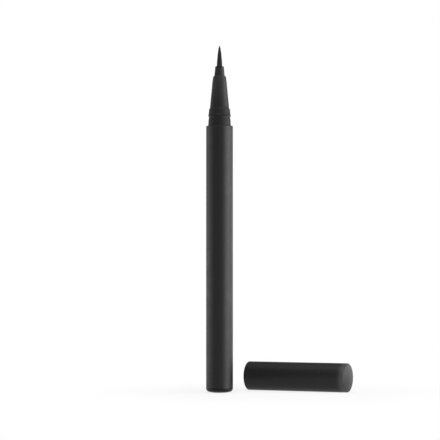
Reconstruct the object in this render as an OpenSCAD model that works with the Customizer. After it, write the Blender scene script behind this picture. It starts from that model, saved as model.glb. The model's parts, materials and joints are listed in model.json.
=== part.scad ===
// Liquid eyeliner pen with a free ink system, its sprung cap lying beside it.
// The origin is the middle of the flat under the tail, and the pen stands along +Z.

/* [Barrel] */
// Diameter of the barrel
barrel_d = 9.6; // [8.8:0.1:12]
// Wall of the barrel
barrel_wall = 0.8; // [0.6:0.05:0.9]
// Height of the barrel's shoulder above the foot
barrel_top = 95.35; // [85:0.05:120]
// Rounding of the shoulder's outer edge
shoulder_round = 0.2; // [0.1:0.05:0.3]
// Number of ribs that centre the tank
rib_count = 6; // [3:1:8]
// Width of one centring rib
rib_w = 0.8; // [0.5:0.1:1.2]
// Height of one centring rib
rib_h = 0.3; // [0.2:0.05:0.5]

/* [Tail plug] */
// Radius of the dome under the tail
tail_dome_r = 16; // [13:0.5:30]
// Rounding between the dome and the side
tail_round = 1.2; // [0.6:0.1:1.6]
// Flat in the middle of the dome, on which the pen stands
tail_flat_d = 4.6; // [3:0.1:5.5]
// Straight side between the rounding and the barrel's lower edge
tail_land = 0.3; // [0.2:0.1:1.5]
// Length of the spigot inside the barrel
tail_spigot_h = 6; // [4:0.5:9]
// Wall of the hollow spigot
tail_spigot_wall = 1.2; // [1:0.1:1.5]
// Thickness of the pad between the plug and the ink tank
cushion_h = 1.5; // [1:0.1:3]

/* [Ink tank] */
// Wall of the tank
tank_wall = 0.5; // [0.4:0.05:0.7]
// Thickness of the tank's floor
tank_floor = 0.8; // [0.6:0.1:1.5]
// Gap between the two mixing balls
ball_gap = 0.06; // [0.04:0.02:0.2]
// Gap between a ball and the tank's wall
ball_side_gap = 0.1; // [0.06:0.02:0.3]

/* [Collector] */
// Thickness of one comb fin
fin_t = 0.35; // [0.3:0.05:0.45]
// Gap between two fins, which holds ink by its narrowness
fin_gap = 0.35; // [0.25:0.05:0.4]
// Number of wide fins next to the tank
rear_fins = 20; // [8:1:26]
// Number of narrow fins next to the nose
front_fins = 11; // [6:1:14]
// Diameter of the stem that carries the fins
stem_d = 3.6; // [3:0.1:4]
// Width of the ink slit
ink_slit_w = 0.25; // [0.15:0.05:0.4]
// Width of the air slot on the other side
air_slot_w = 1; // [0.6:0.1:1.4]
// Thickness of the end flanges
flange_h = 1; // [0.7:0.1:1.5]
// Length of the spigot in the tank's mouth
tank_spigot_h = 4.5; // [3:0.5:7]
// Diameter of the fibre core that feeds the brush
core_d = 2; // [1.6:0.1:2.2]
// Length of core that reaches into the ink
core_dip = 3; // [1:0.5:10]

/* [Nose cone] */
// Draft of the land that the cap's mouth slides on
land_draft = 0.14; // [0.1:0.01:0.25]
// Length of that land
land_h = 2.5; // [1.8:0.1:3]
// Depth of the groove behind the snap bead
groove_depth = 0.11; // [0.05:0.01:0.2]
// Width of that groove
groove_h = 0.83; // [0.6:0.01:1.2]
// Height of the snap bead over the groove
bead_h = 0.23; // [0.15:0.01:0.3]
// Radius of the snap bead's section
bead_r = 0.45; // [0.4:0.01:0.6]
// Length of the neck in front of the bead
neck_h = 1.85; // [1.2:0.05:3]
// Step from the neck down to the cone
cone_step = 0.28; // [0.2:0.01:0.4]
// Length of the cone, with its steeper front
cone_h = 11.63; // [10.5:0.01:14]
// Length of that front
cone_front_h = 1.9; // [1:0.1:3]
// Diameter of the cone where its front starts
cone_front_d = 5.1; // [4.8:0.05:5.5]
// Diameter of the cone at its front edge
cone_top_d = 4.61; // [4.5:0.01:4.8]
// Rounding of the front edge
cone_round = 0.2; // [0.1:0.05:0.25]
// Wall of the skirt round the wide fins
skirt_wall = 0.46; // [0.4:0.02:0.6]
// Wall of the skirt round the narrow fins
seat_wall = 0.86; // [0.8:0.02:1]

/* [Brush] */
// Diameter of the brush holder where it leaves the nose
holder_d = 3.76; // [3.4:0.01:3.8]
// Diameter of the brush holder at its front edge
holder_top_d = 3.12; // [2.9:0.01:3.3]
// Length of the holder in front of the nose
holder_h = 3.53; // [2:0.01:5]
// Length of the holder inside the nose
holder_depth = 8; // [7:0.1:9]
// Diameter of the brush where it leaves the holder
brush_d = 2.08; // [1.6:0.02:2.2]
// Length of the brush in front of the holder
brush_h = 7.6; // [5:0.1:10]
// Strands along one side of the grid that fills the brush
brush_grid = 18; // [18:1:19]

/* [Cap] */
// How far the cap stands proud of the barrel all round
cap_proud = 0.4; // [0.3:0.05:1]
// Length of the cap
cap_len = 39.3; // [38.5:0.1:45]
// Radius of the dome on the closed end
cap_dome_r = 22; // [18:1:60]
// Rounding between that dome and the side
cap_round = 0.5; // [0.3:0.1:1]
// Rounding of the mouth's edges
mouth_round = 0.2; // [0.1:0.05:0.25]
// Thickness of the closed end
cap_end_t = 1.3; // [1.2:0.1:2]
// How far the snap rib bites behind the bead
snap_bite = 0.1; // [0.05:0.01:0.15]
// Gap between the nose's neck and the ring that keeps the inner cap in, cap on
retainer_gap = 0.85; // [0.5:0.05:1.2]
// Length of that ring
retainer_h = 1.4; // [1:0.1:2]

/* [Inner cap] */
// Travel of the inner cap against its spring
inner_travel = 2; // [1:0.1:2.5]
// Wall of the inner cap
inner_wall = 0.56; // [0.5:0.01:0.6]
// Gap between the inner cap's side and the bore it slides in
inner_side_gap = 0.18; // [0.12:0.01:0.25]
// Bore of the inner cap round the brush
inner_slim_d = 4.4; // [4.2:0.1:5]
// Length of the taper between the wide bore and that one
inner_taper_h = 2.5; // [1.5:0.1:3]
// Air between the brush's tip and the inner cap's end, cap on
tip_clear = 1; // [0.6:0.1:2]
// Height of the sealing ring in its mouth
lip_h = 1; // [0.8:0.1:1.4]
// Number of vents in its flange, which let the air past as it slides
vent_count = 4; // [3:1:6]
// Width of one vent
vent_w = 1; // [0.6:0.1:1.5]
// Outer diameter of the spring
spring_d = 5; // [4.8:0.1:6]
// Wire of the spring
spring_wire = 0.4; // [0.3:0.05:0.5]
// Turns of the spring
spring_turns = 7.5; // [5:0.5:8]

/* [Where the cap lies] */
// Place of the mouth's middle, to the right of the pen
cap_x = 10.82; // [8:0.1:40]
// Place of the mouth's middle, behind the pen
cap_y = 15.95; // [12:0.1:60]
// Turn of the cap, its closed end towards the front, in degrees
cap_turn = 25; // [0:1:40]

/* [Hidden] */
$fn = 96;

// Overrun of the cuts
over = 1;
// Radial fit of pieces that are pushed into each other
fit = 0.04;
// Axial gap of pieces that only rest on each other
rest_gap = 0.02;
// Radial clearance of pieces that slide
slide_gap = 0.05;
// Points along one rounded stretch of an outline
arc_steps = 8;

// Tail plug
barrel_id = barrel_d - 2 * barrel_wall;
tail_flat_r = tail_flat_d / 2;
tail_side_z = domed_side(barrel_d / 2, tail_dome_r, tail_round, tail_flat_r);
tail_h = tail_side_z + tail_land;
spigot_top = tail_h + tail_spigot_h;
tail_spigot_d = barrel_id - 2 * fit;
seal_depth = 0.65;
seal_w = 0.9;
tail_seal_z = tail_h + tail_spigot_h / 2;
cross_wall = 0.7;
cross_drop = 0.8;
plug_floor = 1;

// Nose cone, from the shoulder of the barrel upwards
seat_ledge = 0.08;
seat_d = barrel_id + 2 * seat_ledge;
land_d = seat_d - 2 * land_draft;
groove_d = land_d - 2 * groove_depth;
groove_chamfer = 0.15;
bead_d = groove_d + 2 * bead_h;
groove_z = barrel_top + land_h;
bead_z = groove_z + groove_h + bead_r;
neck_z = bead_z + bead_r;
neck_lift = 0.09;
neck_d = groove_d + 2 * neck_lift;
neck_draft = 0.18;
neck_top_z = neck_z + neck_h;
neck_edge = 0.25;
cone_base_d = neck_d - 2 * neck_draft - 2 * cone_step;
cone_base_z = neck_top_z + neck_edge;
nose_top = cone_base_z + cone_h;

// Brush holder
seat_z = nose_top - holder_depth;
holder_lip = 0.6;
holder_flange_d = holder_d + 2 * holder_lip;
holder_flange_z = seat_z - flange_h;
holder_bore_d = brush_d + 2 * slide_gap;
holder_top = nose_top + holder_h;
holder_round = 0.15;
root_lip = 0.26;
root_h = 0.6;
counterbore_d = brush_d + 2 * root_lip + 2 * slide_gap;
counterbore_h = 3;
counterbore_z = holder_flange_z + counterbore_h;
air_groove_w = 0.6;
air_groove_depth = 0.3;
air_grooves = 3;
air_groove_stop = 2;

// Collector, from the holder downwards
nozzle_d = 3.4;
nozzle_h = 9;
front_plate_z = holder_flange_z - nozzle_h - flange_h;
fin_pitch = fin_t + fin_gap;
front_comb_z = front_plate_z - front_fins * fin_pitch;
rear_comb_z = front_comb_z - rear_fins * fin_pitch;
rear_flange_z = rear_comb_z - flange_h;
collector_z = rear_flange_z - tank_spigot_h;
skirt_d = barrel_id - 2 * fit;
skirt_bore_d = skirt_d - 2 * skirt_wall;
seat_bore_d = skirt_d - 2 * seat_wall;
fin_clear = 0.1;
rear_fin_d = skirt_bore_d - 2 * fin_clear;
front_fin_d = seat_bore_d - 2 * fin_clear;
nose_seal_drop = 4;
nose_seal_z = barrel_top - nose_seal_drop;
nose_seal_depth = 0.45;
cone_bore_d = holder_flange_d + 2 * fit;
core_clear = 0.05;
core_bore_d = core_d + 2 * core_clear;
air_slot_floor = 0.5;
slit_wall = 0.2;

// Ink tank
tank_d = barrel_id - 2 * rib_h - 2 * fit;
tank_id = tank_d - 2 * tank_wall;
tank_z = spigot_top + cushion_h;
tank_top = rear_flange_z;
tank_corner = 0.6;
tank_spigot_d = tank_id - 2 * fit;
tank_seal_depth = 0.6;
tank_seal_z = collector_z + tank_spigot_h / 2;
ball_d = tank_id / 2 - ball_gap / 2 - ball_side_gap;
ball_z = tank_z + tank_floor + ball_d / 2 + rest_gap;
core_z = collector_z - core_dip;
brush_root_z = counterbore_z - root_h;
core_top = brush_root_z - rest_gap;

// Brush
slice_drop = 0.9;
slice_z = holder_top - slice_drop;
tip_power_share = 0.59;
free_share = 0.7;
ring_shares = [0.3, 0.62];
strand_share = 0.72;
cell = brush_d / brush_grid;
strand_sides = 3;

// Cap, measured from its mouth towards its closed end
cap_d = barrel_d + 2 * cap_proud;
cap_clear = 0.12;
cap_bore_d = seat_d + 2 * cap_clear;
snap_d = bead_d - 2 * snap_bite;
snap_section_r = 0.45;
snap_z = land_h + groove_h / 2;
retainer_z = cone_base_z - barrel_top + retainer_gap;
step_z = retainer_z + retainer_h;
retainer_d = cap_bore_d - 2 * fit;
retainer_lip = 0.65;
retainer_id = retainer_d - 2 * retainer_lip;
cap_floor_z = cap_len - cap_end_t;
spring_sides = 6;
spring_rings = 8;

// Inner cap: the nose pushes it back when the cap goes on, and its lip squeezes the cone
travel_spare = 0.5;
closing_travel = inner_travel - travel_spare;
inner_z = step_z + rest_gap;
lip_back = 0.3;
lip_proud = 0.18;
lip_squeeze = 0.05;
lip_z = inner_z + lip_back;
lip_reach = lip_z + lip_h / 2 + closing_travel - (cone_base_z - barrel_top);
cone_slope_share = (cone_base_d - cone_front_d) / (cone_h - cone_front_h);
lip_bore_d = cone_base_d - cone_slope_share * lip_reach - 2 * lip_squeeze;
inner_wide_d = lip_bore_d + 2 * lip_proud;
slide_bore_d = inner_wide_d + 2 * inner_wall + 2 * inner_side_gap;
flange_d = slide_bore_d - 2 * slide_gap;
lip_seat_share = 0.64;
lip_d = inner_wide_d + 2 * lip_seat_share * inner_wall;
flange_back = 0.4;
vent_depth = 0.15;
inner_flange_z = lip_z + lip_h + flange_back;
nose_clear = 1.25;
wide_z = nose_top - barrel_top - closing_travel + nose_clear;
slim_z = wide_z + inner_taper_h;
inner_end_t = 0.7;
inner_end = holder_top + brush_h - barrel_top + tip_clear - closing_travel;
inner_top = inner_end + inner_end_t;
spring_len = cap_floor_z - inner_top - 2 * rest_gap;
boss_gap = 0.15;
boss_d = (spring_d - spring_wire) * cos(180 / spring_rings) - spring_wire - 2 * boss_gap;
stop_gap = 0.3;
boss_h = (spring_len - inner_travel - stop_gap) / 2;

// Height of the side's lower end above the flat of a domed end
function domed_side(r, dome_r, round_r, flat_r) =
    sqrt(pow(dome_r, 2) - pow(flat_r, 2))
    - sqrt(pow(dome_r - round_r, 2) - pow(r - round_r, 2));

// Points of an arc about a centre, from one angle to another
function arc(centre, r, from, to) =
    [for (i = [0:arc_steps]) let (a = from + (to - from) * i / arc_steps)
        centre + r * [cos(a), sin(a)]];

// Outline of a domed end: from its flat outwards, up to where the straight side starts
function domed(r, dome_r, round_r, flat_r) =
    let (dome_z = sqrt(pow(dome_r, 2) - pow(flat_r, 2)),
         side_z = domed_side(r, dome_r, round_r, flat_r),
         tangent = atan2(side_z - dome_z, r - round_r))
    concat(arc([0, dome_z], dome_r, -90 + asin(flat_r / dome_r), tangent),
           arc([r - round_r, side_z], round_r, tangent, 0));

// Mirrors an outline to the other end of a piece
function flipped(points, length) =
    [for (i = [len(points) - 1:-1:0]) [points[i][0], length - points[i][1]]];

module disc(d, z0, z1) {
    translate([0, 0, z0]) cylinder(d = d, h = z1 - z0);
}

module tube(d, bore, z0, z1) {
    difference() {
        disc(d, z0, z1);
        disc(bore, z0 - over, z1 + over);
    }
}

// Ring of round section that fills a groove between two diameters
module seal_ring(outer_d, inner_d, z) {
    section = (outer_d - inner_d) / 2 - fit;
    rotate_extrude() translate([(outer_d + inner_d) / 4, z]) circle(d = section);
}

// Groove cut for a seal ring
module seal_groove(d, depth, z) {
    difference() {
        disc(d + 2 * over, z - seal_w / 2, z + seal_w / 2);
        disc(d - 2 * depth, z - seal_w, z + seal_w);
    }
}

// Moves a cap piece from the pen's line to where the cap lies
module lying_cap() {
    translate([cap_x, cap_y, cap_d / 2]) rotate([0, 90, -cap_turn]) children();
}

module barrel() {
    color("#2e2e2f") {
        rotate_extrude() polygon(concat(
            [[barrel_id / 2, tail_h], [barrel_d / 2, tail_h]],
            arc([barrel_d / 2 - shoulder_round, barrel_top - shoulder_round],
                shoulder_round, 0, 90),
            [[barrel_id / 2, barrel_top]]));
        for (i = [0:rib_count - 1]) rotate([0, 0, 360 * i / rib_count]) barrel_rib();
    }
}

// One centring rib, cut to the tank's round
module barrel_rib() {
    rib_z = tank_z + tank_wall;
    rib_top = rear_flange_z - flange_h;
    difference() {
        translate([0, -rib_w / 2, rib_z])
            cube([barrel_id / 2 + barrel_wall / 2, rib_w, rib_top - rib_z]);
        disc(barrel_id - 2 * rib_h, rib_z - over, rib_top + over);
    }
}

module tail_plug() {
    bore = tail_spigot_d - 2 * tail_spigot_wall;
    color("#2e2e2f") {
        difference() {
            union() {
                rotate_extrude() polygon(concat(
                    [[0, 0]],
                    domed(barrel_d / 2, tail_dome_r, tail_round, tail_flat_r),
                    [[barrel_d / 2, tail_h], [0, tail_h]]));
                disc(tail_spigot_d, tail_h - plug_floor, spigot_top);
            }
            disc(bore, tail_h, spigot_top + over);
            seal_groove(tail_spigot_d, seal_depth, tail_seal_z);
        }
        for (turn = [0, 90]) rotate([0, 0, turn])
            translate([-bore / 2 - fit, -cross_wall / 2, tail_h - fit])
                cube([bore + 2 * fit, cross_wall, tail_spigot_h - cross_drop]);
    }
}

module tail_seal() {
    color("#1c1c1c") seal_ring(barrel_id, tail_spigot_d - 2 * seal_depth, tail_seal_z);
}

module tank_cushion() {
    color("#6b6b6b") disc(tank_d, spigot_top, tank_z);
}

module ink_tank() {
    color("#c9cdd2") rotate_extrude() polygon(concat(
        [[0, tank_z]],
        arc([tank_d / 2 - tank_corner, tank_z + tank_corner], tank_corner, -90, 0),
        [[tank_d / 2, tank_top], [tank_id / 2, tank_top],
         [tank_id / 2, tank_z + tank_floor], [0, tank_z + tank_floor]]));
}

module mixing_ball(side) {
    color("silver") translate([side * (ball_d + ball_gap) / 2, 0, ball_z]) sphere(d = ball_d);
}

module mixing_ball_left() {
    mixing_ball(-1);
}

module mixing_ball_right() {
    mixing_ball(1);
}

module tank_seal() {
    color("#1c1c1c") seal_ring(tank_id, tank_spigot_d - 2 * tank_seal_depth, tank_seal_z);
}

// Outline of a row of fins, from its lower end upwards
function comb(fin_d, count, z0) =
    [for (i = [0:count - 1]) let (z = z0 + i * fin_pitch)
        each [[stem_d / 2, z], [stem_d / 2, z + fin_gap],
              [fin_d / 2, z + fin_gap], [fin_d / 2, z + fin_pitch]]];

// Comb feed: the fins hold the ink that warmth or a drop in air pressure drives out
module collector() {
    color("#e8e6df") difference() {
        rotate_extrude() polygon(concat(
            [[0, collector_z], [tank_spigot_d / 2, collector_z],
             [tank_spigot_d / 2, rear_flange_z], [tank_d / 2, rear_flange_z],
             [tank_d / 2, rear_comb_z]],
            comb(rear_fin_d, rear_fins, rear_comb_z),
            comb(front_fin_d, front_fins, front_comb_z),
            [[seat_bore_d / 2 - fit, front_plate_z],
             [seat_bore_d / 2 - fit, front_plate_z + flange_h],
             [nozzle_d / 2, front_plate_z + flange_h],
             [nozzle_d / 2, holder_flange_z], [0, holder_flange_z]]));
        disc(core_bore_d, collector_z - over, holder_flange_z + over);
        seal_groove(tank_spigot_d, tank_seal_depth, tank_seal_z);
        translate([0, -ink_slit_w / 2, collector_z - over])
            cube([tank_spigot_d / 2 - tank_seal_depth - slit_wall, ink_slit_w,
                  front_plate_z - collector_z + over]);
        translate([0, -ink_slit_w / 2, rear_comb_z])
            cube([tank_d, ink_slit_w, front_plate_z - rear_comb_z]);
        translate([-tank_d - core_bore_d / 2 - air_slot_floor, -air_slot_w / 2, rear_comb_z])
            cube([tank_d, air_slot_w, front_plate_z + flange_h - rear_comb_z + over]);
    }
}

module feeder_core() {
    color("#f2f0ea") disc(core_d, core_z, core_top);
}

// Outer line of the nose in front of the barrel, from the shoulder upwards
function nose_line() = concat(
    [[seat_d / 2, barrel_top], [land_d / 2, groove_z - groove_chamfer],
     [groove_d / 2, groove_z], [groove_d / 2, bead_z],
     [neck_d / 2, neck_z], [neck_d / 2 - neck_draft, neck_top_z],
     [cone_base_d / 2, cone_base_z], [cone_front_d / 2, nose_top - cone_front_h]],
    arc([cone_top_d / 2 - cone_round, nose_top - cone_round], cone_round, 0, 90));

module nose_cone() {
    step_up = front_comb_z + fin_gap / 2;
    color("#1d1d1e") difference() {
        union() {
            rotate_extrude() polygon(concat(
                [[0, rear_comb_z], [skirt_d / 2, rear_comb_z], [skirt_d / 2, barrel_top]],
                nose_line(),
                [[0, nose_top]]));
            rotate_extrude() translate([bead_d / 2 - bead_r, bead_z]) circle(r = bead_r);
        }
        disc(skirt_bore_d, rear_comb_z - over, step_up);
        disc(seat_bore_d, step_up - over, front_plate_z + flange_h);
        disc(cone_bore_d, front_plate_z, seat_z);
        disc(holder_d + 2 * fit, seat_z - over, nose_top + over);
        seal_groove(skirt_d, nose_seal_depth, nose_seal_z);
    }
}

module nose_seal() {
    color("#1c1c1c") seal_ring(barrel_id, skirt_d - 2 * nose_seal_depth, nose_seal_z);
}

module brush_holder() {
    color("#1d1d1e") difference() {
        union() {
            disc(holder_flange_d, holder_flange_z, seat_z);
            rotate_extrude() polygon(concat(
                [[0, holder_flange_z], [holder_d / 2, holder_flange_z],
                 [holder_d / 2, nose_top]],
                arc([holder_top_d / 2 - holder_round, holder_top - holder_round],
                    holder_round, 0, 90),
                [[0, holder_top]]));
        }
        disc(holder_bore_d, holder_flange_z - over, holder_top + over);
        disc(counterbore_d, holder_flange_z - over, counterbore_z);
        for (i = [0:air_grooves - 1]) rotate([0, 0, 360 * i / air_grooves])
            translate([holder_d / 2 - air_groove_depth, -air_groove_w / 2,
                       holder_flange_z - over])
                cube([holder_flange_d, air_groove_w,
                      nose_top - air_groove_stop - holder_flange_z + over]);
    }
}

// Square grid point, from -1 to 1 each way, moved to its place in a round bundle
function in_round(p) =
    p == [0, 0] ? [0, 0]
    : abs(p[0]) >= abs(p[1])
        ? p[0] * [cos(45 * p[1] / p[0]), sin(45 * p[1] / p[0])]
        : p[1] * [sin(45 * p[0] / p[1]), cos(45 * p[0] / p[1])];

// Half width of the brush at a share of its free length
function brush_r(share) = brush_d / 2 * pow(1 - min(share, free_share), tip_power_share);

// Share of the free length at which a strand ends: the middle ones are the longest
function strand_end(off_centre) =
    1 - (1 - free_share) * pow(min(off_centre, 1), 1 / tip_power_share);

// The bundle of tapered strands, fused to the root that the holder grips
module brush() {
    n = brush_grid;
    side = n + 1;
    base = side * side;
    levels = 1 + len(ring_shares);
    per_strand = strand_sides * levels + 1;
    cells = [for (j = [0:n - 1]) for (i = [0:n - 1]) [i, j]];
    grid = [for (j = [0:n]) for (i = [0:n])
        let (p = in_round([2 * i / n - 1, 2 * j / n - 1]) * brush_d / 2) [p[0], p[1], slice_z]];
    strands = [for (c = cells) each strand_points(in_round(
        [(2 * c[0] + 1) / n - 1, (2 * c[1] + 1) / n - 1]))];
    rim = concat([for (i = [0:n - 1]) i], [for (j = [0:n - 1]) j * side + n],
                 [for (i = [n:-1:1]) n * side + i], [for (j = [n:-1:1]) j * side]);
    count = len(rim);
    wall = [for (level = [[brush_d / 2, counterbore_z], [brush_d / 2 + root_lip, counterbore_z],
                          [brush_d / 2 + root_lip, brush_root_z]])
        for (k = rim) let (p = grid[k] * level[0] / (brush_d / 2)) [p[0], p[1], level[1]]];
    wall_at = base + len(strands);
    middle = wall_at + len(wall);
    slice = [for (k = [0:len(cells) - 1])
        let (a = cells[k][1] * side + cells[k][0], s = base + k * per_strand)
        each cell_faces([a + side + 1, a + side, a, a + 1], [s, s + 1, s + 2])];
    strand_sides_list = [for (k = [0:len(cells) - 1])
        each strand_faces(base + k * per_strand, levels)];
    bands = concat(
        [for (k = [0:count - 1]) each band(rim[k], rim[(k + 1) % count],
            wall_at + k, wall_at + (k + 1) % count)],
        [for (level = [0:1]) for (k = [0:count - 1])
            let (a = wall_at + level * count)
            each band(a + k, a + (k + 1) % count,
                      a + count + k, a + count + (k + 1) % count)],
        [for (k = [0:count - 1]) let (a = wall_at + 2 * count)
            [a + k, a + (k + 1) % count, middle]]);
    echo(strands = len(cells), least_gap = cell * (1 - strand_share) * brush_r(1) / (brush_d / 2));
    color("#151515") polyhedron(
        points = concat(grid, strands, wall, [[0, 0, brush_root_z]]),
        faces = concat(slice, strand_sides_list, bands));
}

// Points of one strand: its rings from the slice upwards, then its tip
function strand_points(place) =
    let (off_centre = norm(place), end = strand_end(off_centre),
         rings = concat([0], ring_shares))
    concat(
        [for (share = rings) let (r = brush_r(share), thin = cell / 2 * strand_share
            * r / (brush_d / 2), z = share == 0 ? slice_z : holder_top + share * brush_h)
            for (a = [30, 150, 270])
                [place[0] * r + thin * cos(a), place[1] * r + thin * sin(a), z]],
        [[place[0] * brush_r(end), place[1] * brush_r(end), holder_top + end * brush_h]]);

// Faces of the slice between a cell's four corners and a strand's three
function cell_faces(c, t) = [
    [c[0], t[1], c[1]], [c[0], t[0], t[1]], [c[1], t[1], c[2]], [c[2], t[1], t[2]],
    [c[2], t[2], c[3]], [c[3], t[2], t[0]], [c[3], t[0], c[0]]];

// Faces of a strand's sides and tip
function strand_faces(first, levels) = concat(
    [for (level = [0:levels - 2]) for (i = [0:strand_sides - 1])
        let (a = first + level * strand_sides, b = a + strand_sides,
             j = (i + 1) % strand_sides)
        each [[a + i, b + j, a + j], [a + i, b + i, b + j]]],
    [for (i = [0:strand_sides - 1])
        let (a = first + (levels - 1) * strand_sides, j = (i + 1) % strand_sides)
        [a + i, first + levels * strand_sides, a + j]]);

// Two triangles between neighbours on an upper and a lower ring
function band(upper, next_upper, lower, next_lower) =
    [[upper, next_upper, next_lower], [upper, next_lower, lower]];

module cap_shell() {
    side_z = cap_len - domed_side(cap_d / 2, cap_dome_r, cap_round, 0);
    color("#2e2e2f") lying_cap() {
        difference() {
            rotate_extrude() polygon(concat(
                [[0, 0]],
                arc([cap_d / 2 - mouth_round, mouth_round], mouth_round, -90, 0),
                flipped(domed(cap_d / 2, cap_dome_r, cap_round, 0), cap_len)));
            disc(cap_bore_d, -over, step_z);
            disc(slide_bore_d, step_z - fit, cap_floor_z);
            translate([0, 0, -over]) cylinder(
                r1 = cap_bore_d / 2 + mouth_round + over, r2 = cap_bore_d / 2,
                h = mouth_round + over);
        }
        rotate_extrude() translate([snap_d / 2 + snap_section_r, snap_z])
            circle(r = snap_section_r);
        disc(boss_d, cap_floor_z - boss_h, cap_floor_z + fit);
    }
}

// Ring pushed into the cap behind its mouth: the inner cap's flange stops on it
module retainer_ring() {
    color("#3a3a3a") lying_cap() tube(retainer_d, retainer_id, retainer_z, step_z);
}

module inner_cap() {
    color("#d9d9d6") lying_cap() difference() {
        union() {
            rotate_extrude() polygon([
                [0, inner_z], [flange_d / 2, inner_z],
                [flange_d / 2, inner_flange_z],
                [inner_wide_d / 2 + inner_wall, inner_flange_z],
                [inner_wide_d / 2 + inner_wall, wide_z],
                [inner_slim_d / 2 + inner_wall, slim_z],
                [inner_slim_d / 2 + inner_wall, inner_top], [0, inner_top]]);
            disc(boss_d, inner_top - fit, inner_top + boss_h);
        }
        rotate_extrude() polygon([
            [0, inner_z - over], [inner_wide_d / 2, inner_z - over],
            [inner_wide_d / 2, wide_z], [inner_slim_d / 2, slim_z],
            [inner_slim_d / 2, inner_end], [0, inner_end]]);
        disc(lip_d, lip_z, lip_z + lip_h);
        for (i = [0:vent_count - 1]) rotate([0, 0, 360 * i / vent_count])
            translate([flange_d / 2 - vent_depth, -vent_w / 2, inner_z - over])
                cube([flange_d, vent_w, inner_flange_z - inner_z + 2 * over]);
    }
}

// Soft ring in the inner cap's mouth that closes on the nose cone
module inner_cap_seal() {
    color("#8a8a8a") lying_cap()
        tube(lip_d - 2 * fit, lip_bore_d, lip_z + rest_gap, lip_z + lip_h - rest_gap);
}

// Points of the spring's wire, ring after ring along the helix
function spring_points() =
    let (r = (spring_d - spring_wire) / 2, total = round(spring_turns * spring_rings),
         rise = (spring_len - spring_wire) / total)
    [for (k = [0:total]) let (turn = 360 * k / spring_rings,
                              z = inner_top + rest_gap + spring_wire / 2 + k * rise)
        for (s = [0:spring_sides - 1]) let (a = 360 * s / spring_sides,
                                            out = r + spring_wire / 2 * cos(a))
            [out * cos(turn), out * sin(turn), z + spring_wire / 2 * sin(a)]];

module cap_spring() {
    total = round(spring_turns * spring_rings);
    echo(spring_gap = (spring_len - spring_wire) / spring_turns - spring_wire);
    color("silver") lying_cap() polyhedron(
        points = spring_points(),
        faces = concat(
            [for (k = [0:total - 1]) for (s = [0:spring_sides - 1])
                let (a = k * spring_sides, b = a + spring_sides, t = (s + 1) % spring_sides)
                each [[a + s, b + s, b + t], [a + s, b + t, a + t]]],
            [for (s = [1:spring_sides - 2]) [0, s, s + 1]],
            [for (s = [1:spring_sides - 2]) let (e = total * spring_sides)
                [e, e + s + 1, e + s]]));
}

barrel();
tail_plug();
tail_seal();
tank_cushion();
ink_tank();
mixing_ball_left();
mixing_ball_right();
tank_seal();
collector();
feeder_core();
nose_cone();
nose_seal();
brush_holder();
brush();
cap_shell();
retainer_ring();
cap_spring();
inner_cap();
inner_cap_seal();
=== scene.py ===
# %% Load the frame
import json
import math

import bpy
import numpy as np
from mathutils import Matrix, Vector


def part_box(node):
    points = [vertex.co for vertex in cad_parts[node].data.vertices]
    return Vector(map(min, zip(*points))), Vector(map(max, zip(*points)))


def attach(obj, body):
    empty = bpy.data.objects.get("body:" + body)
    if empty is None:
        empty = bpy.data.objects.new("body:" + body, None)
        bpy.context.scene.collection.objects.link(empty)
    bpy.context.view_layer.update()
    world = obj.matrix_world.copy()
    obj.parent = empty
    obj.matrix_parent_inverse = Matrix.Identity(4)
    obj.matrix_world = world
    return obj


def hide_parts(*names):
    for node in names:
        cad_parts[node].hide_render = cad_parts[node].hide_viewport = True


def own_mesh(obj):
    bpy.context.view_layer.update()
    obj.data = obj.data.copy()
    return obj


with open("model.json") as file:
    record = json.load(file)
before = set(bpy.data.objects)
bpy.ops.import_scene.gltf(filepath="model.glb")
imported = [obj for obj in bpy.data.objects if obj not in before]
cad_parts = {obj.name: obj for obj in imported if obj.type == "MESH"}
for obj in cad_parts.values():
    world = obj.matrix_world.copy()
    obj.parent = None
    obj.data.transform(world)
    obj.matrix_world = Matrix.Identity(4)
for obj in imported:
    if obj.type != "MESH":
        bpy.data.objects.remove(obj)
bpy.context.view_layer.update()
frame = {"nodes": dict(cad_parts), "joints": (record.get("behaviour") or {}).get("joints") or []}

# %% [markdown]
# # A liquid eyeliner pen, uncapped, with its cap lying beside it
#
# The frame holds the pen's solids as a draughtsman drew them, in metres, standing on z = 0
# with the pen's axis on the Z axis. This lesson gives each piece its finish, makes the two
# pieces that plain solids can't show well (the brush, and the spring in the cap), and sets up
# the floor, the lamps and the camera of a small product picture.

nodes = frame["nodes"]
MM = 0.001

# %% [markdown]
# ## Shader formulas
# A material is a tree of nodes, and a tree drawn by hand hides the formula in it. A small
# class can hold one output socket and answer to +, - and *, so that a pattern is written as
# it would be on paper: each operator adds one Math node. Everything that isn't plain
# arithmetic goes through one method, which takes the kind of node, its settings and its
# inputs. Numbers that are the same all over a surface are set on the shader itself.

# %% A class for formulas, and one for finishes
class Value:
    """An output socket. Arithmetic on it adds Math nodes to its finish."""

    def __init__(self, finish, socket):
        self.finish, self.socket = finish, socket

    def math(self, operation, first, second):
        return self.finish.add("ShaderNodeMath", {"operation": operation}, {0: first, 1: second})

    def __add__(self, other):
        return self.math("ADD", self, other)

    def __sub__(self, other):
        return self.math("SUBTRACT", self, other)

    def __rsub__(self, other):
        return self.math("SUBTRACT", other, self)

    def __mul__(self, other):
        return self.math("MULTIPLY", self, other)

    __radd__ = __add__
    __rmul__ = __mul__

    def rise(self, low, high):
        """0 below low, 1 above high, and a smooth S between them."""
        return self.finish.add("ShaderNodeMapRange", {"interpolation_type": "SMOOTHSTEP"},
                               {"Value": self, "From Min": low, "From Max": high})


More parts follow.
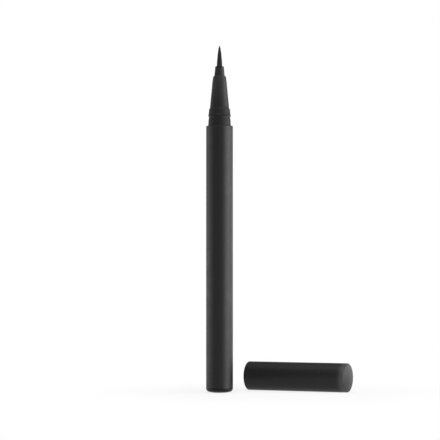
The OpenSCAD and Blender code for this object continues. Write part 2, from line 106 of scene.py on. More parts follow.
class Finish:
    """A material with a Principled shader, built up from formulas."""

    def __init__(self, name, **fixed):
        self.material = bpy.data.materials.new(name)
        self.material.use_nodes = True
        self.tree = self.material.node_tree
        self.shader = self.tree.nodes["Principled BSDF"]
        for socket, value in fixed.items():
            self.shader.inputs[socket.replace("_", " ")].default_value = value

    def add(self, kind, settings, inputs, out=0):
        """Adds a node: its settings first, then the values or links of its sockets."""
        node = self.tree.nodes.new(kind)
        for name, value in settings.items():
            setattr(node, name, value)
        for name, value in inputs.items():
            if isinstance(value, Value):
                self.tree.links.new(value.socket, node.inputs[name])
            else:
                node.inputs[name].default_value = value
        return Value(self, node.outputs[out])

    def place(self, centre=(0, 0, 0), turn=(0, 0, 0), stretch=(1, 1, 1)):
        """Object coordinates seen from a centre, turned, and stretched along its axes."""
        here = self.add("ShaderNodeTexCoord", {}, {}, "Object")
        return self.add("ShaderNodeMapping", {"vector_type": "TEXTURE"},
                        {"Vector": here, "Location": centre, "Rotation": turn, "Scale": stretch})

    def noise(self, at, size, detail=2.0, roughness=0.5):
        """Cloudy noise from 0 to 1, with blobs about size metres across."""
        return self.add("ShaderNodeTexNoise", {}, {"Vector": at, "Scale": 1 / size,
                                                   "Detail": detail, "Roughness": roughness})

    def axes(self, vector):
        """The three numbers of a vector."""
        split = self.add("ShaderNodeSeparateXYZ", {}, {"Vector": vector}).socket.node
        return [Value(self, socket) for socket in split.outputs]

    def blend(self, mask, first, second):
        """The first colour where mask is 0, and the second where it is 1."""
        return self.add("ShaderNodeMix", {"data_type": "RGBA"}, {0: mask, 6: first, 7: second}, 2)

    def drive(self, **sockets):
        """Feeds formulas to the shader's sockets."""
        for socket, value in sockets.items():
            self.tree.links.new(value.socket, self.shader.inputs[socket.replace("_", " ")])
        return self

    def bump(self, height, depth):
        """Relief of the given depth in metres, from a height between 0 and 1."""
        relief = self.add("ShaderNodeBump", {}, {"Height": height, "Distance": depth})
        return self.drive(Normal=relief)


BLUE = 1.02    # how much stronger blue is than red in black plastic


def grey(level):
    """A neutral colour, with the trace of blue that black plastics have."""
    return (level, level, BLUE * level, 1)


print("formula and finish classes ready")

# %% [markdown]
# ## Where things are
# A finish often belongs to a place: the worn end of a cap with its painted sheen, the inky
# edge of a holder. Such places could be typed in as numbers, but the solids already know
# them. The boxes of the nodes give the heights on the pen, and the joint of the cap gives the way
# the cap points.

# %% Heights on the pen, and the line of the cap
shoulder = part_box("barrel")[1].z
nose_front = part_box("nose_cone")[1].z
holder_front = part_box("brush_holder")[1].z
brush_foot, brush_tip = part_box("brush")
cap_joint = next(j for j in frame["joints"] if j["name"] == "cap_pull")
cap_way = np.array(cap_joint["axis"]) / np.linalg.norm(cap_joint["axis"])
cap_turn = math.atan2(cap_way[1], cap_way[0])


def points_of(node):
    """The corners of a node's mesh, one row each."""
    mesh = nodes[node].data
    flat = np.empty(len(mesh.vertices) * 3)
    mesh.vertices.foreach_get("co", flat)
    return flat.reshape(-1, 3)


def span_along_cap(node):
    """Where a node of the cap starts and ends, measured from the pen's axis along the cap."""
    along = points_of(node) @ cap_way
    return along.min(), along.max()


shell_points = points_of("cap_shell")
cap_middle = (shell_points.min(0) + shell_points.max(0)) / 2
mouth_at, closed_at = span_along_cap("cap_shell")
cap_mouth = cap_middle + cap_way * (mouth_at - cap_middle @ cap_way)
cap_length = closed_at - mouth_at
print(f"heights in mm: shoulder {shoulder / MM:.2f}, nose {nose_front / MM:.2f},",
      f"holder {holder_front / MM:.2f}, tip {brush_tip.z / MM:.2f}")
print(f"cap {cap_length / MM:.2f} mm long, turned {math.degrees(cap_turn):.1f} degrees")

# %% [markdown]
# ## The soft-touch shell
# Barrel, tail and cap are black polypropylene with a satin, rubbery coat. Its highlight is
# broad and has no hard edge, because the coat is a grain of bumps less than a tenth of a
# millimetre wide. They could be displaced for real, but that takes millions of faces, so
# the grain is a relief in the material. Hands polish such a coat in patches, which shows
# in the roughness and hardly in the colour. The foot of the barrel is worn smoother still,
# and so is a ring round the cap's closed end, which is also painted a paler grey: a painted
# sheen for the light on the cap's rounded end. The tail is moulded on its own and is a
# little less glossy, and its darker grey is painted shade at the foot of the pen.

# %% Numbers of the satin coat
# The third grey paints the ring at the cap's closed end paler: a painted sheen that stands in for
# the light on its rounded end.
COAT_GREY, TAIL_PAINTED_SHADE_GREY, END_SHEEN_GREY = 0.0085, 0.003, 0.060
COAT_MIRROR, TAIL_MIRROR = 0.27, 0.20
PATCHY = 0.08                                   # how far the shade strays in a patch
SATIN, POLISHED, RUBBED = 0.48, 0.05, 0.08      # roughness; what polish and rubbing take off
GRAIN, SWELL, PATCH = 0.08 * MM, 0.9 * MM, 6 * MM    # widths of the noises
PATCH_EDGE = (0.42, 0.72)                       # noise levels where a patch starts and is full
SWELL_SHARE = 0.3                               # of the relief; the rest is grain
COAT_RELIEF = 0.007 * MM
FOOT_RUB = (0.4 * MM, 3 * MM)                   # heights: rubbed below, and untouched above
END_RUB_AND_SHEEN = (3.6 * MM, 0.9 * MM)                  # before the closed end: rub and painted sheen start, are full
END_EDGE = (0.85 * MM, 0.55 * MM)               # before the closed end: rub and painted sheen fade, are over
print(f"coat: grain {GRAIN / MM:.2f} mm wide, rubbed {(END_RUB_AND_SHEEN[0] - END_EDGE[1]) / MM:.2f} mm",
      "of the cap's end")


# %% Satin finish of the barrel, the tail and the cap
def satin_shell(name, edge, shade=COAT_GREY, mirror=COAT_MIRROR, rubbed_and_sheen=COAT_GREY):
    """Fine grain, cloudy polish, and a smoother band where edge is 1 in a grey of its own, which
    on the cap's end is a painted sheen.
    """
    coat = Finish(name, Specular_IOR_Level=mirror)
    at = coat.place()
    grain = coat.noise(at, GRAIN, detail=1)
    swell = coat.noise(at, SWELL, detail=1)
    polish = coat.noise(at, PATCH, detail=3, roughness=0.6).rise(*PATCH_EDGE)
    wear_and_sheen = edge(coat)
    tint = coat.blend(polish, grey((1 - PATCHY) * shade), grey((1 + PATCHY) * shade))
    # Where the mask is 1 the grey changes; on the cap's end ring this paints a paler grey, a
    # painted sheen.
    tint = coat.blend(wear_and_sheen, tint, grey(rubbed_and_sheen))
    coat.drive(Base_Color=tint, Roughness=SATIN - POLISHED * polish - RUBBED * wear_and_sheen)
    return coat.bump((1 - SWELL_SHARE) * grain + SWELL_SHARE * swell, COAT_RELIEF)


def foot_band(coat):
    """1 on the ring that stands on the table, and 0 from a few millimetres above it."""
    return 1 - coat.axes(coat.place())[2].rise(*FOOT_RUB)


def closed_end(coat):
    """1 on the ring round the cap's closed end, where fingers and pockets rub it smoother, and
    where the coat is painted paler as a painted sheen.
    """
    along = coat.axes(coat.place(cap_mouth, (0, 0, cap_turn)))[0]
    ring = along.rise(*(cap_length - before for before in END_RUB_AND_SHEEN))
    return ring * (1 - along.rise(*(cap_length - before for before in END_EDGE)))


barrel_coat = satin_shell("satin_barrel", foot_band)
# The tail's darker grey is painted shade: it stands in for the shade on the pen's rounded foot.
tail_coat = satin_shell("satin_tail", foot_band, TAIL_PAINTED_SHADE_GREY, TAIL_MIRROR, TAIL_PAINTED_SHADE_GREY)
# The cap's end ring is painted a paler grey: painted sheen for the light on its rounded end.
cap_coat = satin_shell("satin_cap", closed_end, rubbed_and_sheen=END_SHEEN_GREY)
print("satin coats:", [coat.material.name for coat in (barrel_coat, tail_coat, cap_coat)])

# %% [markdown]
# ## The moulded nose
# The nose has no coat: it is black plastic as it leaves a polished mould, so its cone is
# glossier than the barrel. The cap's snap rib always slides along the axis. It leaves
# streaks on the land and the bead, which are noise stretched that way, and makes that part
# of the nose duller. Towards the brush a faint haze turns the black a little paler. The
# small holder in front is the same plastic, with a thin film of dried ink at its edge.

# %% Numbers of the nose
NOSE_MIRROR = 0.2
NOSE_GREY, SCUFF_GREY, HAZE_GREY = 0.0095, 0.0130, 0.0270
SCUFFED_TO = (shoulder + 3.6 * MM, shoulder + 5 * MM)   # streaks fade over the bead
DULL_TO = (shoulder + 6 * MM, shoulder + 8 * MM)        # dull up to the foot of the cone
HAZE_FROM = (shoulder + 2 * MM, nose_front + 2 * MM)    # haze grows all along the nose
STREAK_WIDTH, STREAK_STRETCH = 0.12 * MM, (1, 1, 14)
STREAK_EDGE = (0.52, 0.8)                               # noise levels between which a streak grows
CLOUD, WAVINESS = 3 * MM, 1.4 * MM                      # widths of the noises
NOSE_ROUGH, HOLDER_ROUGH = 0.37, 0.38
STREAK_SHARE = 0.25                                     # of the relief; the rest is waviness
MOULD_RELIEF = 0.004 * MM
HOLDER_GREY, INK_GREY = 0.0200, 0.0060
INK_FROM = (holder_front - 0.35 * MM, holder_front + 0.1 * MM)
BLOT, BLOT_RELIEF = 0.5 * MM, 0.006 * MM
print(f"nose: streaks end at z {SCUFFED_TO[1] / MM:.2f} mm, dull part at {DULL_TO[1] / MM:.2f} mm")


# %% Polished finish of the nose, and inky finish of the holder
def moulded_nose():
    """Gloss with axial scuffs up to the neck, and a faint swell from the mould."""
    gloss = Finish("moulded_nose", Specular_IOR_Level=NOSE_MIRROR)
    at = gloss.place()
    height = gloss.axes(at)[2]
    streak = gloss.noise(gloss.place(stretch=STREAK_STRETCH), STREAK_WIDTH, detail=2)
    scuff = streak.rise(*STREAK_EDGE) * (1 - height.rise(*SCUFFED_TO))
    wave = gloss.noise(at, WAVINESS, detail=1)
    cloud = gloss.noise(at, CLOUD, detail=2)
    haze = height.rise(*HAZE_FROM) * (0.75 + 0.5 * cloud)
    tint = gloss.blend(scuff, grey(NOSE_GREY), grey(SCUFF_GREY))
    tint = gloss.blend(haze, tint, grey(HAZE_GREY))
    dull = 1 - height.rise(*DULL_TO)
    gloss.drive(Base_Color=tint,
                Roughness=(NOSE_ROUGH + 0.15 * dull + 0.04 * cloud + 0.08 * scuff
                           + 0.05 * haze))
    return gloss.bump((1 - STREAK_SHARE) * wave + STREAK_SHARE * streak, MOULD_RELIEF)


def inky_holder():
    """Gloss that turns darker and wetter in the last half millimetre before the brush."""
    gloss = Finish("inky_holder", Specular_IOR_Level=NOSE_MIRROR)
    at = gloss.place()
    height = gloss.axes(at)[2]
    blot = gloss.noise(at, BLOT, detail=3)
    ink = (height + BLOT * blot).rise(*INK_FROM)
    tint = gloss.blend(ink, grey(HOLDER_GREY), grey(INK_GREY))
    gloss.drive(Base_Color=tint, Roughness=HOLDER_ROUGH + 0.06 * blot - 0.08 * ink)
    return gloss.bump(blot, BLOT_RELIEF)


nose_gloss = moulded_nose()
holder_gloss = inky_holder()
print("nose finishes:", nose_gloss.material.name, holder_gloss.material.name)

# %% [markdown]
# ## Pieces that only show when the pen is taken apart
# Tank, comb feed, core, seals, balls and inner cap are hidden in the picture, but the model
# is also opened up and seen from inside. Each could share one grey, yet they are very
# different stuffs: milky polypropylene, off-white moulded plastic, bonded fibre, rubber and
# steel. One short recipe covers them all, with the size of its grain and how strongly it
# changes colour, gloss and relief as its numbers.

# %% One recipe for the inner pieces
BROAD = 12                # the broad noise is this much wider than the grain
BROAD_SHARE = 0.4         # and has this share in the mix of the two
SHADE_EDGE = (0.35, 0.65)
SWING = 0.06              # how far the roughness strays to both sides


def plain_stuff(name, light, dark, rough, grain, depth, stretch=(1, 1, 1), **fixed):
    """Two shades mixed by grain, a roughness that follows it, and a relief."""
    stuff = Finish(name, **fixed)
    at = stuff.place(stretch=stretch)
    fine = stuff.noise(at, grain, detail=2)
    broad = stuff.noise(at, BROAD * grain, detail=2)
    mask = ((1 - BROAD_SHARE) * fine + BROAD_SHARE * broad).rise(*SHADE_EDGE)
    stuff.drive(Base_Color=stuff.blend(mask, (*dark, 1), (*light, 1)),
                Roughness=rough - SWING + 2 * SWING * mask)
    return stuff.bump(fine, depth)


milky_tank = plain_stuff("milky_tank", (0.62, 0.64, 0.66), (0.55, 0.57, 0.6),
                         rough=0.38, grain=0.25 * MM, depth=0.003 * MM)
comb_plastic = plain_stuff("comb_plastic", (0.80, 0.79, 0.74), (0.72, 0.71, 0.66),
                           rough=0.5, grain=0.1 * MM, depth=0.003 * MM)
inner_plastic = plain_stuff("inner_cap_plastic", (0.72, 0.72, 0.70), (0.66, 0.66, 0.64),
                            rough=0.45, grain=0.12 * MM, depth=0.003 * MM)
fibre_rod = plain_stuff("fibre_rod", (0.84, 0.83, 0.78), (0.55, 0.54, 0.5),
                        rough=0.85, grain=0.03 * MM, depth=0.015 * MM, stretch=(1, 1, 20))
seal_rubber = plain_stuff("seal_rubber", (0.024, 0.024, 0.024), (0.016, 0.016, 0.016),
                          rough=0.6, grain=0.05 * MM, depth=0.003 * MM)
lip_rubber = plain_stuff("lip_rubber", (0.27, 0.27, 0.27), (0.2, 0.2, 0.2),
                         rough=0.6, grain=0.05 * MM, depth=0.003 * MM)
cushion_foam = plain_stuff("cushion_foam", (0.2, 0.2, 0.2), (0.07, 0.07, 0.07),
                           rough=0.9, grain=0.12 * MM, depth=0.04 * MM)
ball_steel = plain_stuff("ball_steel", (0.66, 0.66, 0.66), (0.6, 0.6, 0.6),
                         rough=0.14, grain=0.3 * MM, depth=0.0004 * MM, Metallic=1.0)
print("inner finishes made")

# %% [markdown]
# ## Handing out the finishes
# A node of the frame keeps its mesh and gets its finish through its material slot. A table
# from node to finish is the shortest way to see that none is left out.

# %% Finish of each node
finish_of = {
    "barrel": barrel_coat, "tail_plug": tail_coat, "cap_shell": cap_coat,
    "nose_cone": nose_gloss, "brush_holder": holder_gloss, "retainer_ring": nose_gloss,
    "tail_seal": seal_rubber, "tank_seal": seal_rubber, "nose_seal": seal_rubber,
    "inner_cap_seal": lip_rubber, "tank_cushion": cushion_foam, "ink_tank": milky_tank,
    "mixing_ball_left": ball_steel, "mixing_ball_right": ball_steel,
    "collector": comb_plastic, "feeder_core": fibre_rod, "inner_cap": inner_plastic,
}
for node, finish in finish_of.items():
    for slot in nodes[node].material_slots:
        slot.material = finish.material
print(len(finish_of), "nodes finished; made anew:", sorted(set(nodes) - set(finish_of)))

# %% [markdown]
# ## From arrays to a mesh
# Both new pieces are tubes: a small ring carried along a path. With numpy the points of all
# the rings are worked out in one go, and one function joins neighbouring rings with faces.
# Another makes the object and writes values to each point, such as how far along its tube
# it lies, so that a finish can follow the piece's own run and not only its place in space.

# %% Rings to faces, and faces to an object
def tube_faces(tubes, rings, sides):
    """Quads between neighbours on successive rings, with a face across both ends of each tube.

    Point number = (tube * rings + ring) * sides + side. A side's neighbour is the next one
    round, and a ring's neighbour is the next one along."""
    tube, ring, side = np.meshgrid(np.arange(tubes), np.arange(rings - 1), np.arange(sides),
                                   indexing="ij")
    low = (tube * rings + ring) * sides
    turn = (side + 1) % sides
    quads = np.stack([low + side, low + turn, low + sides + turn, low + sides + side], -1)
    first = np.arange(tubes)[:, None] * rings * sides
    foot = first + np.arange(sides)[::-1]
    head = first + (rings - 1) * sides + np.arange(sides)
    return quads.reshape(-1, 4).tolist() + foot.tolist() + head.tolist()


def make_piece(name, points, faces, finish, **values):
    """A smooth-shaded object at the origin; each value named is a number per point."""
    mesh = bpy.data.meshes.new(name)
    mesh.from_pydata(points.reshape(-1, 3).tolist(), [], faces)
    mesh.polygons.foreach_set("use_smooth", np.ones(len(faces), bool))
    for key, numbers in values.items():
        attribute = mesh.attributes.new(key, "FLOAT", "POINT")
        attribute.data.foreach_set("value", np.ascontiguousarray(numbers, np.float32).ravel())
    mesh.materials.append(finish.material)
    mesh.update()
    piece = bpy.data.objects.new(name, mesh)
    bpy.context.scene.collection.objects.link(piece)
    triangles = sum(len(f) - 2 for f in faces)
    print(f"{name}: {len(mesh.vertices)} points, {triangles} triangles")
    return piece


# %% [markdown]
# ## The brush
# The tip is a bundle of nylon filaments, each drawn out to a point, welded together at the
# root and shaped so that they close to one fine tip when wet. The solid in the frame has a
# few hundred thick strands. A particle system could grow hair on it, but hair isn't a mesh
# and doesn't travel with the model. So every filament is a slim tube: it starts in the
# welded root, follows the outline of the brush at its own share of the radius, runs
# straight over the last stretch, and ends on the outline. So the middle filaments are the
# longest.

# %% Finish of the filaments
FILAMENT_DARK, FILAMENT_LIGHT, FILAMENT_TIP_HIGHLIGHT = 0.0100, 0.0190, 0.0380
TIP_EDGE = (0.2, 0.9)    # shares of the free length over which the painted highlight on a filament grows
FLECK = 0.08 * MM


def wet_filament():
    """Black nylon: each filament has its own shade and gloss, and towards its drawn-out end it is
    painted paler, a painted highlight on the brush's tip.
    """
    nylon = Finish("wet_filament")
    shade = nylon.add("ShaderNodeAttribute", {"attribute_name": "shade"}, {}, "Fac")
    run = nylon.add("ShaderNodeAttribute", {"attribute_name": "run"}, {}, "Fac")
    fleck = nylon.noise(nylon.place(stretch=(1, 1, 6)), FLECK, detail=2)
    tint = nylon.blend(shade, grey(FILAMENT_DARK), grey(FILAMENT_LIGHT))
    # Paler towards each filament's end: a painted highlight that stands in for the light on the
    # brush's tip.
    tint = nylon.blend(run.rise(*TIP_EDGE), tint, grey(FILAMENT_TIP_HIGHLIGHT))
    nylon.drive(Base_Color=tint, Roughness=0.3 + 0.15 * shade + 0.1 * fleck - 0.06 * run)
    return nylon.bump(fleck, 0.001 * MM)


filament_finish = wet_filament()

# %% What the frame says of the brush
ROOT_DEPTH = 0.9 * MM    # from the holder's front down to the end of the weld
LIP_EDGE = 0.95          # points beyond this share of the widest radius are on the root's lip
brush_points = points_of("brush")
from_axis = np.hypot(brush_points[:, 0], brush_points[:, 1])
root_r = from_axis.max()
lip_top = brush_points[from_axis > LIP_EDGE * root_r, 2].max()
free_r = from_axis[brush_points[:, 2] > lip_top + 0.1 * MM].max()
root_top = holder_front - ROOT_DEPTH
brush_len = brush_tip.z - holder_front
print(f"root {root_r / MM:.2f} mm in radius up to z {lip_top / MM:.2f},",
      f"bundle {free_r / MM:.2f} mm, free length {brush_len / MM:.2f} mm")

# %% Shape of the filaments
FILAMENTS, RINGS, SIDES = 1400, 9, 5
FULLNESS = 0.5            # power of the outline: 1 is a cone, less is fuller
PACKED = 0.975            # place of the outermost filament, as a share of the radius
STRAIGHT = 0.3            # last share of the length, where the filaments run straight
UNEVEN = 0.04             # largest share that a filament ends early
CROWDED = 1.4             # above 1, the rings of a filament crowd towards its tip
SUNK = 0.1 * MM           # how deep a filament starts in the weld
SWAY, WAVE = 0.05, 6      # sideways wave: its size, and its turns in radians from end to end
STARTS = 6.3              # radians over which the waves' starts are spread
THICK = 0.48              # filament's radius, as a share of its room
DRAWN, POINT = 0.85, 14   # share of the thickness lost at the tip, and how late it goes
seed = np.random.default_rng(7)


def outline(share):
    """Radius of the brush at a share of its free length: full radius * (1 - share) ^ FULLNESS."""
    return free_r * (1 - np.clip(share, 0, 1)) ** FULLNESS


def filaments():
    """Centres on a sunflower spiral; each runs at a fixed share of the outline, then ends.

    off = PACKED * sqrt((i + 1/2) / count) and angle = i * golden angle fill a disc evenly.
    A filament ends where the outline has shrunk to where it runs, at
    1 - STRAIGHT * off ^ (1 / FULLNESS), less a little that differs from one to the next."""
    i = np.arange(FILAMENTS)
    off = np.sqrt((i + 0.5) / FILAMENTS) * PACKED
    angle = i * math.pi * (3 - math.sqrt(5))
    end = 1 - STRAIGHT * off ** (1 / FULLNESS)
    end = end - seed.uniform(0, UNEVEN, FILAMENTS) * np.minimum(1, 3 * off)
    t = 1 - np.linspace(1, 0, RINGS) ** CROWDED
    low = root_top - SUNK
    z = low + t * (holder_front + end * brush_len - low)[:, None]
    share = (z - holder_front) / brush_len
    spread = outline(np.minimum(share, 1 - STRAIGHT))
    sway = SWAY * t * (1 - t) * np.sin(WAVE * t + seed.uniform(0, STARTS, (FILAMENTS, 1)))
    lead = angle[:, None] + sway / (off[:, None] + SWAY)
    middle = np.stack([off[:, None] * spread * np.cos(lead),
                       off[:, None] * spread * np.sin(lead), z], -1)
    room = math.sqrt(math.pi / FILAMENTS) * spread
    thick = THICK * room * (1 - DRAWN * t ** POINT)
    turn = 2 * math.pi * np.arange(SIDES) / SIDES + angle[:, None]
    ring = np.stack([np.cos(turn), np.sin(turn), np.zeros_like(turn)], -1)
    points = middle[:, :, None, :] + thick[:, :, None, None] * ring[:, None, :, :]
    shade = seed.uniform(0, 1, (FILAMENTS, 1, 1)) * np.ones(points.shape[:3])
    run = np.clip(share, 0, 1)[:, :, None] * np.ones(points.shape[:3])
    return points, shade, run


points, shade, run = filaments()
print(f"{FILAMENTS} filaments, highest point {points[..., 2].max() / MM:.2f} mm")

# %% The welded root, and the whole brush
ROOT_SIDES = 48
ROOT_SHADE = 0.3
PINPOINT = 1e-6        # radius in metres at which a profile counts as closed


def root():
    """A profile of radius and height carried round the axis: a lip, then the bundle's width."""
    profile = np.array([[PINPOINT, brush_foot.z], [root_r, brush_foot.z], [root_r, lip_top],
                        [free_r, lip_top], [free_r, root_top], [PINPOINT, root_top]])
    turn = 2 * math.pi * np.arange(ROOT_SIDES) / ROOT_SIDES
    r, z = profile[:, 0, None], profile[:, 1, None]
    return np.stack([r * np.cos(turn), r * np.sin(turn), z + 0 * turn], -1)


root_points = root()
count = shade.size
root_count = root_points.size // 3
root_faces = [[k + count for k in face]
              for face in tube_faces(1, len(root_points), ROOT_SIDES)]
brush = make_piece("filament_brush",
                   np.concatenate([points.reshape(-1, 3), root_points.reshape(-1, 3)]),
                   tube_faces(FILAMENTS, RINGS, SIDES) + root_faces, filament_finish,
                   shade=np.concatenate([shade.ravel(), np.full(root_count, ROOT_SHADE)]),
                   run=np.concatenate([run.ravel(), np.zeros(root_count)]))
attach(brush, "pen")
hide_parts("brush")

# %% [markdown]
# ## The spring in the cap
# A compression spring is wound from hard wire, and its first and last turns are closed
# down flat so that it stands square. A Screw modifier makes an even helix quickly, but its
# ends stay open. So the wire's centre line is worked out: its height rises slowly, then
# fast, then slowly again. The wire is drawn through a die, which leaves fine lines along it.

# %% Finish of the wire
WIRE_DARK, WIRE_LIGHT = (0.42, 0.42, 0.43, 1), (0.60, 0.60, 0.60, 1)
LINES_ROUND, LINES_PER_TURN = 40, 6    # noise blobs round the wire, and along one turn of it
WIRE_ROUGH, LINE_ROUGH = 0.24, 0.16    # roughness, and what a line adds


def drawn_wire():
    """Steel with fine lines along the wire, from the number that says where round it one is."""
    steel = Finish("drawn_wire", Metallic=1.0)
    round_wire = steel.add("ShaderNodeAttribute", {"attribute_name": "shade"}, {}, "Fac")
    wire_run = steel.add("ShaderNodeAttribute", {"attribute_name": "run"}, {}, "Fac")
    where = steel.add("ShaderNodeCombineXYZ", {},
                      {"X": round_wire * LINES_ROUND, "Y": wire_run * LINES_PER_TURN})
    lines = steel.noise(where, 1.0, detail=2)
    steel.drive(Base_Color=steel.blend(lines, WIRE_DARK, WIRE_LIGHT),
                Roughness=WIRE_ROUGH + LINE_ROUGH * lines)
    return steel.bump(lines, 0.001 * MM)


wire_finish = drawn_wire()

# %% Shape of the spring
TURNS, STEPS, WIRE_SIDES = 7.5, 36, 12
WIRE = 0.4 * MM        # thickness of the wire
CLOSED = 1.05 * WIRE   # climb of a closed end turn
EASED = 13             # steps over which the closed turns pass into the open ones


def spring():
    """A helix whose height follows a smooth curve, so that both end turns lie nearly flat.

    height = CLOSED * turns so far in the first and the last turn, and an even climb between
    them. The wire's ring stands across the path: one side away from the axis, one along it."""
    start, end = span_along_cap("cap_spring")
    spring_points = points_of("cap_spring")
    across = spring_points - cap_mouth
    across -= np.outer(across @ cap_way, cap_way)
    r = np.linalg.norm(across, axis=1).max() - WIRE / 2
    turn = np.linspace(0, TURNS, round(TURNS * STEPS) + 1)
    open_climb = end - start - WIRE - 2 * CLOSED
    height = np.interp(turn, [0, 1, TURNS - 1, TURNS],
                       [0, CLOSED, CLOSED + open_climb, 2 * CLOSED + open_climb])
    height = np.pad(height, EASED // 2, "reflect", reflect_type="odd")
    height = np.convolve(height, np.ones(EASED) / EASED, "valid")
    along = start + WIRE / 2 + height - cap_mouth @ cap_way
    side = np.cross([0, 0, 1], cap_way)
    out = (np.cos(2 * math.pi * turn)[:, None] * side
           + np.sin(2 * math.pi * turn)[:, None] * np.array([0, 0, 1]))
    middle = cap_mouth + along[:, None] * cap_way + r * out
    a = 2 * math.pi * np.arange(WIRE_SIDES) / WIRE_SIDES
    ring = (np.cos(a)[None, :, None] * out[:, None, :]
            + np.sin(a)[None, :, None] * cap_way[None, None, :])
    points = middle[:, None, :] + WIRE / 2 * ring
    shade = a / (2 * math.pi) * np.ones(points.shape[:2])
    return points, shade, turn[:, None] * np.ones(points.shape[:2]), end - start


wire_points, wire_shade, wire_run, spring_length = spring()
coil = make_piece("closed_spring", wire_points,
                  tube_faces(1, wire_points.shape[0], WIRE_SIDES), wire_finish,
                  shade=wire_shade, run=wire_run)
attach(coil, "cap")
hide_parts("cap_spring")
travel = next(j for j in frame["joints"] if j["name"] == "inner_cap_slide")["range_m"][1]
seat = cap_mouth + cap_way * (span_along_cap("cap_spring")[1] - mouth_at)
(spring_length - travel) / spring_length
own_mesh(coil)
print(f"spring {spring_length / MM:.2f} mm long, {travel / MM:.1f} mm of travel")

# %% [markdown]
# ## Floor and background
# The picture is taken on white. A white floor under lamps renders a little grey and shows
# the lamps' edges, so it is given a glow that only the camera, mirrors and glass see. Far
# from the object the glow hides the paper. Near the object some of the lit paper shows
# through, and with it the soft shadow that keeps the pen and the cap standing on something.
# The world does the same above the floor: white to the camera, and a plain even light to
# everything else.

# %% A floor that fades to white
FLOOR_HALF, FLOOR_PARTS = 3.0, 24            # half the width in metres, and squares a side
FADE_MIDDLE = (24 * MM, 2 * MM, 0)           # on the floor, between the pen and the cap
FADE = (28 * MM, 80 * MM)                    # from there: the fade starts, and is over
NEAR_GLOW = 0.77                             # share of glow near the object
PAPER_WHITE, PAPER_ROUGH = (0.9, 0.9, 0.9, 1), 0.9


def white_floor():
    """A square grid at z = 0, with its height exactly 0 everywhere."""
    edge = np.linspace(-FLOOR_HALF, FLOOR_HALF, FLOOR_PARTS + 1)
    x, y = np.meshgrid(edge, edge, indexing="ij")
    k = np.arange(FLOOR_PARTS)[:, None] * (FLOOR_PARTS + 1) + np.arange(FLOOR_PARTS)
    faces = np.stack([k, k + FLOOR_PARTS + 1, k + FLOOR_PARTS + 2, k + 1], -1).reshape(-1, 4)
    paper = Finish("white_paper", Roughness=PAPER_ROUGH, Base_Color=PAPER_WHITE)
    here = paper.axes(paper.place(FADE_MIDDLE))
    distance = paper.add("ShaderNodeMath", {"operation": "SQRT"},
                         {0: here[0] * here[0] + here[1] * here[1]})
    rays = paper.add("ShaderNodeLightPath", {}, {}).socket.node.outputs
    seen = Value(paper, rays["Is Camera Ray"]) + Value(paper, rays["Is Glossy Ray"])
    seen = (seen + Value(paper, rays["Is Transmission Ray"])).rise(0, 1)
    glow = paper.add("ShaderNodeEmission", {}, {"Color": (1, 1, 1, 1), "Strength": 1.0})
    share = seen * (NEAR_GLOW + (1 - NEAR_GLOW) * distance.rise(*FADE))
    mixed = paper.add("ShaderNodeMixShader", {},
                      {0: share, 1: Value(paper, paper.shader.outputs[0]), 2: glow})
    paper.tree.links.new(mixed.socket, paper.tree.nodes["Material Output"].inputs["Surface"])
    points = np.stack([x, y, 0 * x], -1)
    return make_piece("paper_floor", points, faces.tolist(), paper)


floor = white_floor()

# %% The world
WORLD_LIGHT = 0.3
world = bpy.data.worlds.new("white_room")
bpy.context.scene.world = world
world.use_nodes = True
room = world.node_tree
room.nodes.clear()
rays = room.nodes.new("ShaderNodeLightPath")
even, white = (room.nodes.new("ShaderNodeBackground") for _ in range(2))
for backdrop, strength in ((even, WORLD_LIGHT), (white, 1.0)):
    backdrop.inputs["Color"].default_value = (1, 1, 1, 1)
    backdrop.inputs["Strength"].default_value = strength
pick = room.nodes.new("ShaderNodeMixShader")
result = room.nodes.new("ShaderNodeOutputWorld")
room.links.new(rays.outputs["Is Camera Ray"], pick.inputs[0])
room.links.new(even.outputs[0], pick.inputs[1])
room.links.new(white.outputs[0], pick.inputs[2])
room.links.new(pick.outputs[0], result.inputs["Surface"])
print("world light", WORLD_LIGHT)

# %% [markdown]
# ## Lamps
# On black plastic the lamps are seen as reflections, so they decide how round the pen
# looks. A low box and a tall sheet on the right draw the broad bright band, with a small
# box behind to carry it round the edge. A wide box on the left draws the other edge, and
# the front stays dark between them. A box overhead lights the top of the cap. Area lamps
# are used, since their size sets how soft the edge of a reflection is.

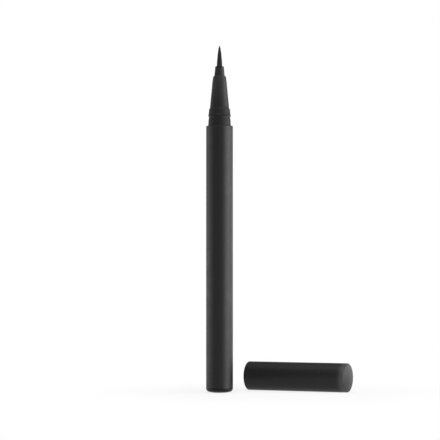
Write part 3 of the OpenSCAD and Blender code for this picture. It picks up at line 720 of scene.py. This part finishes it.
# %% Soft boxes: two to the right, one behind, one to the left and one overhead
# Each row: name, place, what it aims at, width and height, all in metres, and watts.
LAMPS = [
    ("right_box", (0.544, -0.254, 0.075), (0.0, 0.0, 0.055), 0.46, 0.15, 2.28),
    ("right_sheet", (0.598, 0.03, 0.16), (0.0, 0.0, 0.12), 0.34, 0.32, 1.88),
    ("back_box", (0.442, 0.405, 0.075), (0.0, 0.0, 0.055), 0.31, 0.15, 0.36),
    ("left_box", (-0.594, 0.085, 0.08), (0.0, 0.0, 0.06), 0.80, 0.16, 1.18),
    ("top_box", (0.0, -0.16, 0.66), (0.0, 0.0, 0.0), 0.4, 0.62, 2.5),
]


def soft_box(name, place, aim, width, height, watts):
    """A rectangular lamp whose face looks from its place towards the aim."""
    light = bpy.data.lights.new(name, "AREA")
    light.shape = "RECTANGLE"
    light.size, light.size_y, light.energy = width, height, watts
    lamp = bpy.data.objects.new(name, light)
    bpy.context.scene.collection.objects.link(lamp)
    back = np.array(place, float) - np.array(aim, float)
    back /= np.linalg.norm(back)
    across = np.cross([0, 1, 0] if abs(back[2]) > 0.9 else [0, 0, 1], back)
    across /= np.linalg.norm(across)
    up = np.cross(back, across)
    rows = [list(row) for row in zip(across, up, back, place)]
    lamp.matrix_world = Matrix(rows + [[0, 0, 0, 1]])
    return lamp


for lamp in LAMPS:
    soft_box(*lamp)
print("lamps:", [lamp[0] for lamp in LAMPS])

# %% [markdown]
# ## The camera
# The picture was taken from a good distance with a long lens: the barrel hardly narrows
# upwards, and the cap on the floor is seen almost from its own height. The distance, the
# height and the tilt were found by fitting the outline of the pen and the cap, and the
# lens by the pen's width in the picture.

# %% Camera of the picture
SENSOR, FOCAL = 36, 139.83                   # millimetres, as on a lens barrel
CAMERA_AT = (0.168 * MM, -612 * MM, 37.8 * MM)
TILT_UP = 2.228                              # degrees above level
NEAREST, FARTHEST = 0.01, 20                 # metres
lens = bpy.data.cameras.new("long_lens")
lens.sensor_width, lens.lens = SENSOR, FOCAL
lens.clip_start, lens.clip_end = NEAREST, FARTHEST
camera = bpy.data.objects.new("camera", lens)
bpy.context.scene.collection.objects.link(camera)
camera.location = CAMERA_AT
camera.rotation_euler = (math.radians(90 + TILT_UP), 0, 0)
bpy.context.scene.camera = camera
bpy.context.scene.view_settings.view_transform = "Standard"
print("camera", [round(v, 4) for v in camera.location], "lens", lens.lens)
